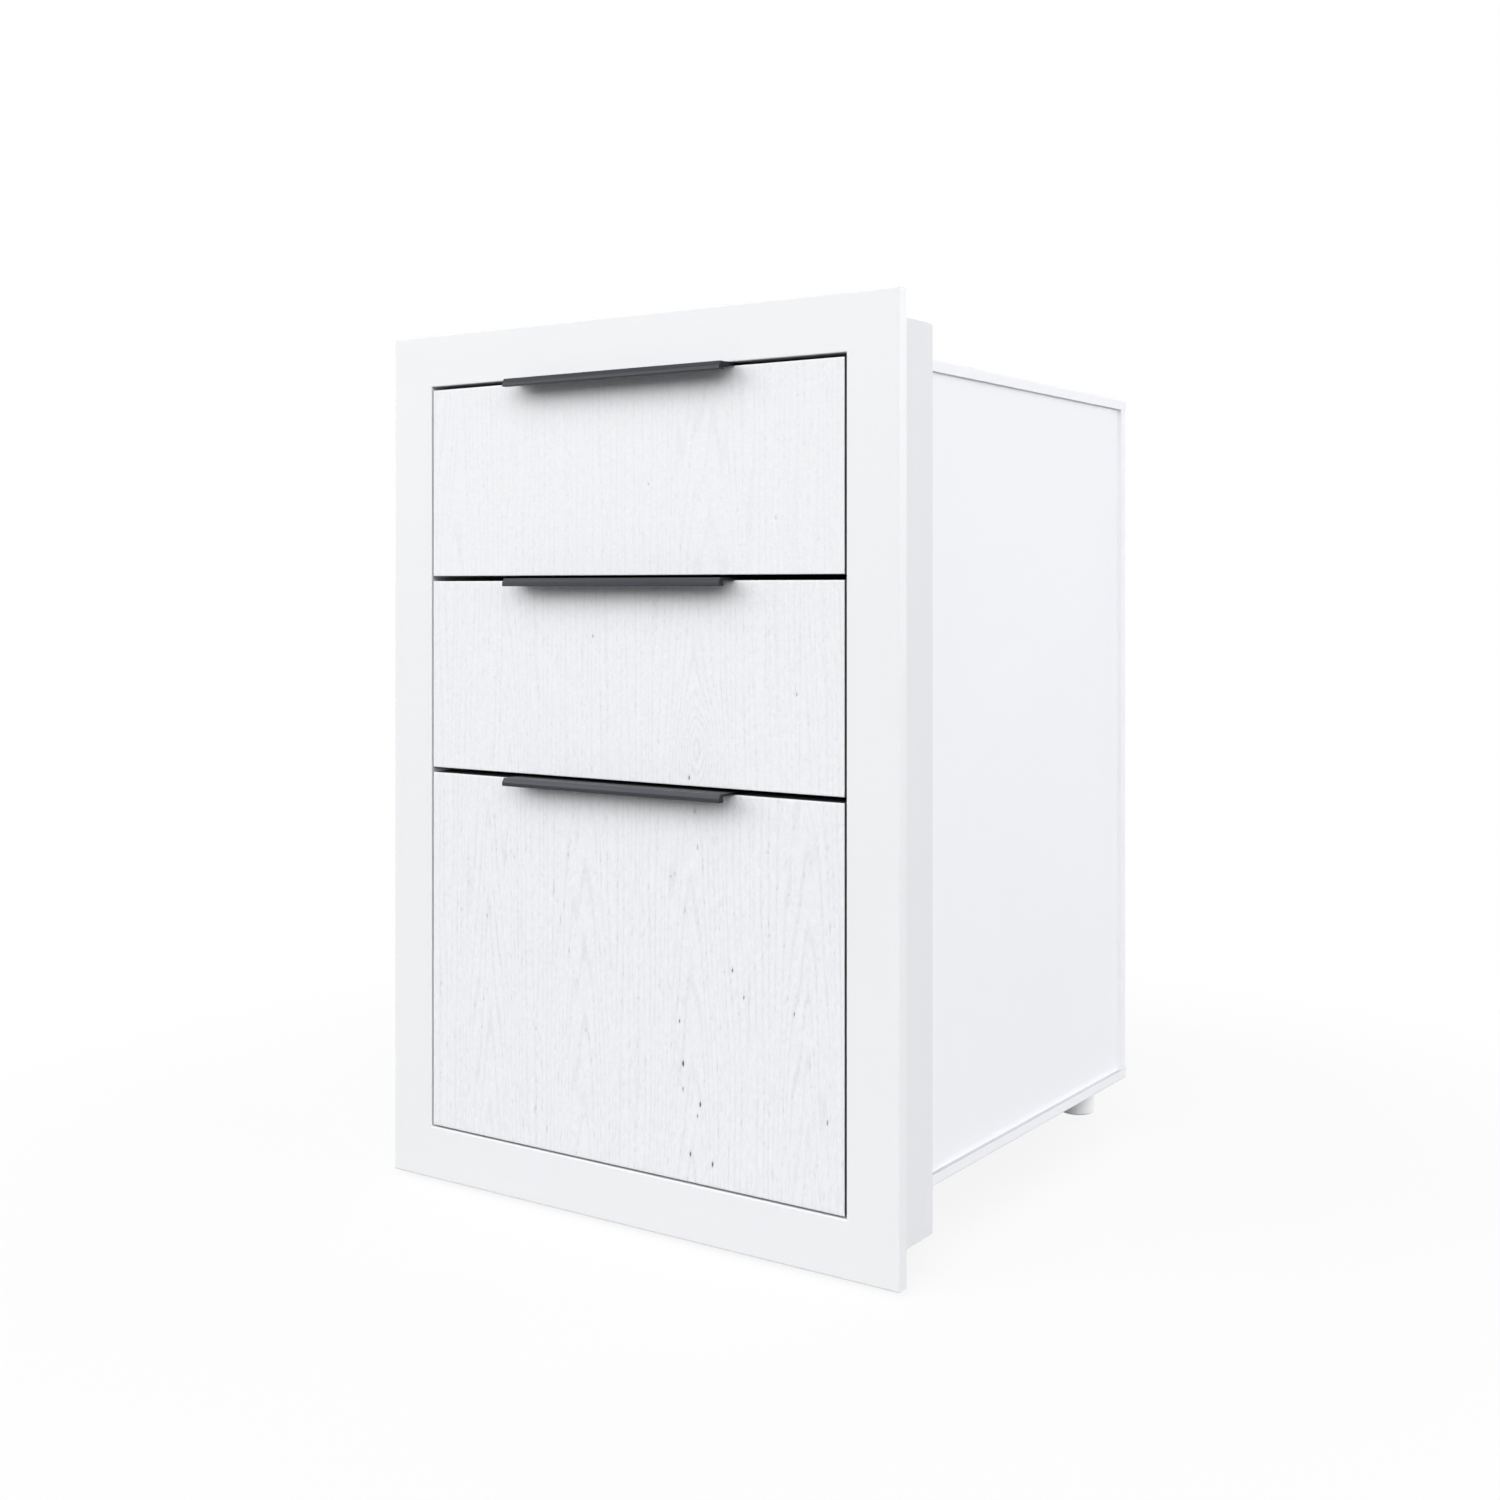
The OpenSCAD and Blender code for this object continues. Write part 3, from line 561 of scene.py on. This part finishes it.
def merge_doubles(mesh):
    """Joins points that lie in the same place, which takes flat faces away with them."""
    work = bmesh.new()
    work.from_mesh(mesh)
    bmesh.ops.remove_doubles(work, verts=work.verts, dist=0.001 * MM)
    bmesh.ops.dissolve_degenerate(work, edges=work.edges, dist=0.001 * MM)
    work.to_mesh(mesh)
    work.free()


def board(name, low, high, strength, grain, up_step, seed):
    """A closed board between two corners, with the grain's relief on its front."""
    thick = high.y - low.y
    xs, dx = edge_ring(low.x, high.x, ACROSS_STEP, thick)
    zs, dz = edge_ring(low.z, high.z, up_step, thick)
    x, z = np.meshgrid(xs, zs)
    wrap = np.maximum(dx[None, :], dz[:, None])
    depth = strength * grain_depth(x, z - (low.z + high.z) / 2, *grain, seed)
    face = np.clip(1 - wrap / EDGE_R, 0, 1)
    y = low.y + wrap + depth * face
    points = np.stack([x, y, z], axis=-1).reshape(-1, 3)
    rows, cols = x.shape
    k = np.arange(rows * cols).reshape(rows, cols)
    front = np.stack([k[:-1, :-1], k[:-1, 1:], k[1:, 1:], k[1:, :-1]], axis=-1).reshape(-1, 4)
    strips = np.stack([k[0, 2:-3], k[-1, 2:-3], k[-1, 3:-2], k[0, 3:-2]], axis=-1)
    left = [*k[:, 0], k[-1, 1], k[-1, 2], k[0, 2], k[0, 1]]
    right = [*k[::-1, -1], k[0, -2], k[0, -3], k[-1, -3], k[-1, -2]]
    mesh = bpy.data.meshes.new(name)
    mesh.from_pydata(points.tolist(), [], front.tolist() + strips.tolist() + [left, right])
    store = mesh.attributes.new("grain_depth", "FLOAT", "POINT")
    store.data.foreach_set("value", (depth * face / MM).astype(np.float32).ravel())
    merge_doubles(mesh)
    centres = np.empty(3 * len(mesh.polygons))
    mesh.polygons.foreach_get("center", centres)
    side = centres[1::3] > low.y + EDGE_R
    back = centres[1::3] > high.y - EDGE_R
    mesh.polygons.foreach_set("material_index", side.astype(np.int32) + back)
    thing = bpy.data.objects.new(name, mesh)
    scene.collection.objects.link(thing)
    return thing


# %% [markdown]
# The paint over the grain is a little lighter than the frame's and a little less glossy. The stored
# depth drives a colour ramp: ridges keep the full white, and grooves and pits turn a cool grey, which
# is painted shade, darkest in the deep pits. The gaps round the fronts are almost black in the
# picture, even where the light would reach a board's edge, so the edges carry a near-black band of
# painted shade. The back is plain white.


# %% Paint the grain
# RIDGE is the paint's own white; SLOPE and BOTTOM are painted shade in grooves and pits.
RIDGE, SLOPE, BOTTOM = (0.885, 0.89, 0.905, 1), (0.75, 0.76, 0.79, 1), (0.13, 0.135, 0.15, 1)
SLOPE_DEPTH_MM, BOTTOM_DEPTH_MM = 0.26, 0.6
FIBRE_SHADE_MM = 0.05
FIBRE_BUMP = 0.14 * MM


def grain_paint():
    """White lacquer over brushed wood, with painted shade that deepens with the depth stored at each
    point.
    """
    material, tree, shader = new_finish("grain_paint")
    stored = add(tree, "ShaderNodeAttribute", attribute_name="grain_depth")
    fibres = noise(tree, 760, stretch=(1, 1, 0.6), detail=1.5)
    limits = {"From Min": 0.35, "From Max": 0.75, "To Max": FIBRE_SHADE_MM}
    extra = add(tree, "ShaderNodeMapRange", limits)
    total = add(tree, "ShaderNodeMath", operation="ADD")
    tree.links.new(fibres, extra.inputs["Value"])
    tree.links.new(stored.outputs["Fac"], total.inputs[0])
    tree.links.new(extra.outputs[0], total.inputs[1])
    ramp = add(tree, "ShaderNodeValToRGB")
    stops = ramp.color_ramp.elements
    stops[0].position, stops[0].color = 0.0, RIDGE
    stops[1].position, stops[1].color = BOTTOM_DEPTH_MM, BOTTOM
    stops.new(SLOPE_DEPTH_MM).color = SLOPE
    tree.links.new(total.outputs[0], ramp.inputs[0])
    tree.links.new(ramp.outputs[0], shader.inputs["Base Color"])
    between(tree, noise(tree, 300, stretch=(1, 1, 0.05)), 0.44, 0.58, shader.inputs["Roughness"])
    shader.inputs["Specular IOR Level"].default_value = 0.4
    raise_bumps(tree, shader, fibres, -FIBRE_BUMP)
    return material


def edge_painted_shade():
    """Near-black matt band on the board's edges, painted shade for the gaps, with a faint sawn
    texture.
    """
    material, tree, shader = new_finish("edge_painted_shade")
    tone = noise(tree, 180, detail=3)
    tint(tree, tone, (0.036, 0.037, 0.040), (0.052, 0.054, 0.058), shader.inputs["Base Color"])
    between(tree, tone, 0.50, 0.62, shader.inputs["Roughness"])
    raise_bumps(tree, shader, noise(tree, 1200), MARK_HEIGHT, 0.5)
    return material


grain_white = grain_paint()
# The near-black edge paint is painted shade for the gaps round the fronts.
gap_shade_edges = edge_painted_shade()
white_back = powder_coat("white_back", (0.80, 0.805, 0.82), (0.785, 0.79, 0.80))

# %% [markdown]
# Each board comes from another part of the tree. The lists below give, for each front, the arches
# as (place across, height where its ring number starts), the knots as (place, size, rings), and
# the few deep pits. Places are measured from the middle of the board.

# %% Lay out the grain of the three fronts, and make them
STRENGTH = {1: 0.62, 2: 0.80, 3: 1.05}
GRAIN = {
    1: (
        [(-150 * MM, 0.06), (75 * MM, -0.11)],
        [],
        [(22 * MM, -7 * MM), (125 * MM, -32 * MM)],
    ),
    2: (
        [(-105 * MM, 0.05), (62 * MM, 0.017)],
        [((65 * MM, -43 * MM), (14 * MM, 26 * MM), -4.4)],
        [(-26 * MM, 30 * MM), (141 * MM, -5 * MM), (56 * MM, -63 * MM)],
    ),
    3: (
        [(-122 * MM, 0.056), (-34 * MM, 0.055), (57 * MM, 0.080), (147 * MM, 0.015)],
        [],
        [
            (100 * MM, -2 * MM), (51 * MM, -69 * MM), (65 * MM, -77 * MM), (63 * MM, -85 * MM),
            (48 * MM, -24 * MM), (91 * MM, 15 * MM), (139 * MM, -8 * MM), (57 * MM, -111 * MM),
            (75 * MM, -115 * MM), (63 * MM, 93 * MM), (164 * MM, -73 * MM), (51 * MM, -52 * MM),
        ],
    ),
}
for n, grain in GRAIN.items():
    low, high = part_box(f"drawer_front_{n}")
    piece = board(f"grain_front_{n}", low, high, STRENGTH[n], grain, UP_STEP[n], seed=40 * n)
    piece.data.materials.append(grain_white)
    piece.data.materials.append(gap_shade_edges)
    piece.data.materials.append(white_back)
    piece.data.shade_smooth()
    piece.data.set_sharp_from_angle(angle=math.radians(50))
    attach(piece, f"drawer_{n}")
    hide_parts(f"drawer_front_{n}")
    print(piece.name, len(piece.data.polygons), "faces")

# %% [markdown]
# ## Threads and screw heads
#
# The construction has its studs, screws and rivets as plain bars with round heads. Up close a stud is
# its thread, and a screw its cross recess. A thread could be a profile screwed up an axis, but then
# its ends have to be closed by hand. Here a bar is a grid of rings and angles whose radius is a
# function of both, so one formula holds the thread, its chamfers and its ends. A screw head is the
# same grid bent into a dome, and its recess is a dent that depends on the place across the head.


# %% Round surfaces from rings
def polar(radius, around):
    """Places across an axis: each ring's radius times the cosine and sine of equal angles."""
    angle = np.linspace(0, 2 * np.pi, around, endpoint=False)
    return radius * np.cos(angle), radius * np.sin(angle)


def skin(centre, axis, u, v, w):
    """Points at u and v across the axis and w along it, and the quads from each ring to the next."""
    order = {"x": (w, u, v), "y": (u, w, v), "z": (u, v, w)}[axis]
    points = np.stack(order, axis=-1).reshape(-1, 3) + np.array(centre)
    k = np.arange(u.size).reshape(u.shape)
    turn = np.roll(k, -1, axis=1)
    return points, np.stack([k[:-1], turn[:-1], turn[1:], k[1:]], axis=-1).reshape(-1, 4)


def closed_piece(name, skins):
    """One mesh from several skins: rings of no radius merge into poles, and faces turn outwards."""
    starts = np.cumsum([0] + [len(points) for points, _ in skins])
    points = np.concatenate([points for points, _ in skins])
    faces = np.concatenate([quads + start for (_, quads), start in zip(skins, starts)])
    mesh = bpy.data.meshes.new(name)
    mesh.from_pydata(points.tolist(), [], faces.tolist())
    merge_doubles(mesh)
    work = bmesh.new()
    work.from_mesh(mesh)
    bmesh.ops.recalc_face_normals(work, faces=work.faces)
    work.to_mesh(mesh)
    work.free()
    mesh.materials.append(bright_zinc)
    mesh.shade_smooth()
    mesh.set_sharp_from_angle(angle=math.radians(35))
    thing = bpy.data.objects.new(name, mesh)
    scene.collection.objects.link(thing)
    return thing


# %% Cut the studs' threads
STUD_R = 4 * MM
PITCH = 1.25 * MM
THREAD_DEPTH = 0.61 * PITCH
FLANK_SLOPE = 1.3
RINGS_PER_TURN, STUD_SIDES = 10, 48


def threaded_bar(low, high):
    """A bar along Z whose radius dips once a turn, by how far z/pitch - angle/turn is from a whole.

    The dip is a triangle wave, clipped so that crest and root are flat. At both ends the radius grows
    from the core as fast as the height, which chamfers the thread at 45 degrees.
    """
    middle = (low + high) / 2
    z = np.arange(low.z, high.z, PITCH / RINGS_PER_TURN)[:, None]
    phase = z / PITCH - np.arange(STUD_SIDES) / STUD_SIDES
    flank = np.abs(2 * (phase - np.floor(phase)) - 1)
    crest = np.clip(0.5 + FLANK_SLOPE * (flank - 0.5), 0, 1)
    core = STUD_R - THREAD_DEPTH
    radius = np.minimum(core + THREAD_DEPTH * crest, core + np.minimum(z - low.z, high.z - z))
    ring = np.ones((1, STUD_SIDES))
    radius = np.vstack([0 * ring, radius, core * ring, 0 * ring])
    w = np.concatenate([[low.z], z[:, 0], [high.z, high.z]])[:, None] * ring
    return skin((middle.x, middle.y, 0), "z", *polar(radius, STUD_SIDES), w)


for place in FOOT_PLACES:
    stud = closed_piece(f"thread_{place}", [threaded_bar(*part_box(f"stud_{place}"))])
    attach(stud, f"{place}_foot")
    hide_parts(f"stud_{place}")
print("four threaded studs")

# %% Stamp the screws and rivets
SCREW_R, SCREW_BITE = 1.95 * MM, 12 * MM
HANDLE_SCREW_R, HANDLE_SCREW_BITE = 1.5 * MM, 10 * MM
HEAD_R, HEAD_H = 3.8 * MM, 2 * MM
RIVET_R, RIVET_H = 3.2 * MM, 1 * MM
SHEET_T, STRIP_T, PLATE_T = 1.5 * MM, 1.2 * MM, 1.8 * MM
HEAD_INSET, HEAD_MARGIN = 25 * MM, 20 * MM
HANDLE_SPAN, LEG_H = 128 * MM, 16 * MM
RAIL_SPAN = 160 * MM
RECESS_L, RECESS_W, RECESS_DEPTH = 2.3 * MM, 0.55 * MM, 1.2 * MM
WALL_SLOPE, END_SLOPE = 0.25 * MM, 0.5 * MM
HEAD_SIDES, RIVET_SIDES = 64, 32


def dome(radius, height, rings):
    """Radii and heights from the rim in: a wall of 0.35 of the height, and over it a circle's arc."""
    share = np.linspace(1, 0, rings)
    return radius * share, height * (0.35 + 0.65 * np.sqrt(1 - share**2))


def screw(centre, shank, bite, seat):
    """A screw along Y: pointed shank, then a dome with a cross-shaped dent with sloping walls."""
    top_r, top_w = dome(HEAD_R, HEAD_H, 24)
    radius = np.concatenate([[0, shank, shank, HEAD_R], top_r])
    along = np.concatenate([[-bite, -bite + 1.5 * shank, seat, seat], seat + top_w])
    u, v = polar(radius[:, None], HEAD_SIDES)
    arm = np.clip((RECESS_W - np.minimum(abs(u), abs(v))) / WALL_SLOPE, 0, 1)
    end = np.clip((RECESS_L - np.hypot(u, v)) / END_SLOPE, 0, 1)
    on_dome = (np.arange(len(radius)) > 3)[:, None]
    w = along[:, None] - RECESS_DEPTH * np.minimum(arm, end) * on_dome
    return skin(centre, "y", u, v, w)


def rivet(centre, inner, outer):
    """A rivet along X: a dome at either end of a shank that runs from inner to outer."""
    r, h = dome(RIVET_R, RIVET_H, 9)
    radius = np.concatenate([r[::-1], [RIVET_R, SCREW_R, SCREW_R, RIVET_R], r])
    along = np.concatenate([inner - h[::-1], [inner, inner, outer, outer], outer + h])
    u, v = polar(radius[:, None], RIVET_SIDES)
    return skin(centre, "x", u, v, along[:, None] * np.ones_like(u))


for n in (1, 2, 3):
    front_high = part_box(f"drawer_front_{n}")[1]
    tray_low, tray_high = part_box(f"drawer_tray_{n}")
    rear = front_high.y
    parts = []
    for s in (-1, 1):
        x = s * (tray_high.x - HEAD_INSET)
        for z in (tray_low.z + HEAD_MARGIN, tray_high.z - HEAD_MARGIN):
            parts.append(screw((x, rear, z), SCREW_R, SCREW_BITE, SHEET_T))
        centre = (s * HANDLE_SPAN / 2, rear, front_high.z - LEG_H / 2)
        parts.append(screw(centre, HANDLE_SCREW_R, HANDLE_SCREW_BITE, PLATE_T))
        side = "left" if s < 0 else "right"
        rail_low, rail_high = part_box(f"drawer_rail_{side}_{n}")
        middle = (rail_low + rail_high) / 2
        plane = max(rail_low.x, rail_high.x) if s < 0 else min(rail_low.x, rail_high.x)
        for i in (-1, 0, 1):
            centre = (plane, middle.y + i * RAIL_SPAN, middle.z)
            ends = sorted((s * STRIP_T, -s * SHEET_T))
            parts.append(rivet(centre, *ends))
    fixings = closed_piece(f"fixings_{n}", parts)
    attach(fixings, f"drawer_{n}")
    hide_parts(f"drawer_screws_{n}")
    print(fixings.name, len(parts), "screws and rivets")
